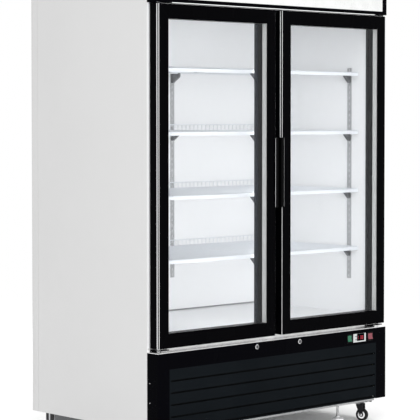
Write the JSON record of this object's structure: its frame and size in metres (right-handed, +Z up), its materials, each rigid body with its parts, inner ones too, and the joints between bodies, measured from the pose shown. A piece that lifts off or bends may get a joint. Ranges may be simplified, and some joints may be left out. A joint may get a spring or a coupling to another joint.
{
  "type": "glass door merchandiser",
  "caption": "Upright glass door refrigerator with twin hinged doors, a lit header, wire shelves, a louvred machine compartment, casters and levelling legs.",
  "frame": {"origin": "on the floor, under the middle of the overall box", "axes": "+Z up, -Y out of the doors, +X to the right of a person facing the doors"},
  "size_m": [1.37, 0.806, 2.06],
  "materials": {
    "panel": "satin",
    "liner": "gloss",
    "foam": "matte",
    "black_gloss": "gloss",
    "black_profile": "gloss",
    "black_matt": "matte",
    "black_plastic": "satin",
    "galvanised": "satin",
    "zinc": "satin",
    "bezel_metal": "polished",
    "sign": "satin",
    "lamp": "matte",
    "controller": "satin",
    "key_rubber": "matte",
    "green_lens": "gloss",
    "red_lens": "gloss",
    "wire_coat": "gloss",
    "glass": "polished",
    "gasket": "matte",
    "coil": "satin",
    "fan_black": "satin",
    "fan_metal": "satin",
    "compressor_paint": "gloss",
    "copper": "satin",
    "caster_steel": "satin",
    "caster_tread": "matte"
  },
  "bodies": {
    "cabinet": {"side_panel_left": "panel", "side_panel_right": "panel", "top_panel": "panel", "rear_panel": "panel", "rear_grille": "panel", "insulation": "foam", "inner_liner": "liner", "front_flange": "liner", "centre_mullion": "black_plastic", "base_frame": "galvanised", "header_box": "black_gloss", "sign_panel": "sign", "led_lamps": "lamp", "corner_posts": "black_gloss", "fascia_band": "black_gloss", "louvre_panel": "black_matt", "door_sill": "galvanised", "thermostat": "controller", "front_bezels": "bezel_metal", "door_hinges": "zinc", "pilasters": "zinc", "shelf_clips": "zinc", "shelves_left": "wire_coat", "shelves_right": "wire_coat", "evaporator_cover": "liner", "evaporator_coil": "coil", "compressor": "compressor_paint", "condenser_coil": "coil", "fan_shroud": "galvanised", "drip_pan": "black_plastic", "refrigerant_pipes": "copper", "power_inlet": "black_plastic", "screws": "zinc", "caster_plates": "caster_steel"},
    "door_left": {"door_frame_left": "black_profile", "glass_unit_left": "glass", "gasket_left": "gasket", "handle_left": "black_plastic"},
    "lock_left": {"lock_core_left": "bezel_metal"},
    "leg_left": {"levelling_leg_left": "galvanised"},
    "door_right": {"door_frame_right": "black_profile", "glass_unit_right": "glass", "gasket_right": "gasket", "handle_right": "black_plastic"},
    "lock_right": {"lock_core_right": "bezel_metal"},
    "leg_right": {"levelling_leg_right": "galvanised"},
    "switch_green": {"rocker_green": "green_lens"},
    "switch_red": {"rocker_red": "red_lens"},
    "button_up": {"key_up": "key_rubber"},
    "button_down": {"key_down": "key_rubber"},
    "evaporator_rotor": {"evaporator_fan": "fan_black"},
    "condenser_rotor": {"condenser_fan": "fan_metal"},
    "caster_front_left": {"caster_fork_fl": "caster_steel"},
    "wheel_front_left": {"caster_wheel_fl": "caster_tread"},
    "caster_front_right": {"caster_fork_fr": "caster_steel"},
    "wheel_front_right": {"caster_wheel_fr": "caster_tread"},
    "caster_rear_left": {"caster_fork_rl": "caster_steel"},
    "wheel_rear_left": {"caster_wheel_rl": "caster_tread"},
    "caster_rear_right": {"caster_fork_rr": "caster_steel"},
    "wheel_rear_right": {"caster_wheel_rr": "caster_tread"}
  },
  "joints": [
    {"name": "door_left_swing", "type": "hinge", "parent": "cabinet", "child": "door_left", "pos_m": [-0.66, -0.375, 1.12], "axis": [0, 0, 1], "range_deg": [-110, 0]},
    {"name": "lock_left_turn", "type": "hinge", "parent": "cabinet", "child": "lock_left", "pos_m": [-0.129, -0.392, 0.402], "axis": [0, 1, 0], "range_deg": [-90, 0]},
    {"name": "levelling_leg_left_lift", "type": "slide", "parent": "cabinet", "child": "leg_left", "axis": [0, 0, 1], "range_m": [0, 0.009]},
    {"name": "door_right_swing", "type": "hinge", "parent": "cabinet", "child": "door_right", "pos_m": [0.66, -0.375, 1.12], "axis": [0, 0, 1], "range_deg": [0, 110]},
    {"name": "lock_right_turn", "type": "hinge", "parent": "cabinet", "child": "lock_right", "pos_m": [0.129, -0.392, 0.402], "axis": [0, 1, 0], "range_deg": [0, 90]},
    {"name": "levelling_leg_right_lift", "type": "slide", "parent": "cabinet", "child": "leg_right", "axis": [0, 0, 1], "range_m": [0, 0.009]},
    {"name": "rocker_green_tip", "type": "hinge", "parent": "cabinet", "child": "switch_green", "pos_m": [0.4455, -0.393, 0.386], "axis": [1, 0, 0], "range_deg": [0, 14]},
    {"name": "rocker_red_tip", "type": "hinge", "parent": "cabinet", "child": "switch_red", "pos_m": [0.5815, -0.393, 0.386], "axis": [1, 0, 0], "range_deg": [0, 14]},
    {"name": "key_up_press", "type": "slide", "parent": "cabinet", "child": "button_up", "axis": [0, 1, 0], "range_m": [0, 0.001], "stiffness_N_per_m": 500},
    {"name": "key_down_press", "type": "slide", "parent": "cabinet", "child": "button_down", "axis": [0, 1, 0], "range_m": [0, 0.001], "stiffness_N_per_m": 500},
    {"name": "evaporator_fan_spin", "type": "hinge", "parent": "cabinet", "child": "evaporator_rotor", "pos_m": [0, -0.045, 1.9175], "axis": [0, 1, 0], "continuous": true},
    {"name": "condenser_fan_spin", "type": "hinge", "parent": "cabinet", "child": "condenser_rotor", "pos_m": [-0.24, -0.195, 0.262], "axis": [0, 1, 0], "continuous": true},
    {"name": "caster_front_left_swivel", "type": "hinge", "parent": "cabinet", "child": "caster_front_left", "pos_m": [-0.592, -0.317, 0.079], "axis": [0, 0, 1], "continuous": true},
    {"name": "caster_front_left_roll", "type": "hinge", "parent": "caster_front_left", "child": "wheel_front_left", "pos_m": [-0.58582, -0.33602, 0.028], "axis": [0.9511, 0.309, 0], "continuous": true},
    {"name": "caster_front_right_swivel", "type": "hinge", "parent": "cabinet", "child": "caster_front_right", "pos_m": [0.592, -0.317, 0.079], "axis": [0, 0, 1], "continuous": true},
    {"name": "caster_front_right_roll", "type": "hinge", "parent": "caster_front_right", "child": "wheel_front_right", "pos_m": [0.59818, -0.33602, 0.028], "axis": [0.9511, 0.309, 0], "continuous": true},
    {"name": "caster_rear_left_swivel", "type": "hinge", "parent": "cabinet", "child": "caster_rear_left", "pos_m": [-0.592, 0.275, 0.079], "axis": [0, 0, 1], "continuous": true},
    {"name": "caster_rear_left_roll", "type": "hinge", "parent": "caster_rear_left", "child": "wheel_rear_left", "pos_m": [-0.58582, 0.25598, 0.028], "axis": [0.9511, 0.309, 0], "continuous": true},
    {"name": "caster_rear_right_swivel", "type": "hinge", "parent": "cabinet", "child": "caster_rear_right", "pos_m": [0.592, 0.275, 0.079], "axis": [0, 0, 1], "continuous": true},
    {"name": "caster_rear_right_roll", "type": "hinge", "parent": "caster_rear_right", "child": "wheel_rear_right", "pos_m": [0.59818, 0.25598, 0.028], "axis": [0.9511, 0.309, 0], "continuous": true}
  ]
}
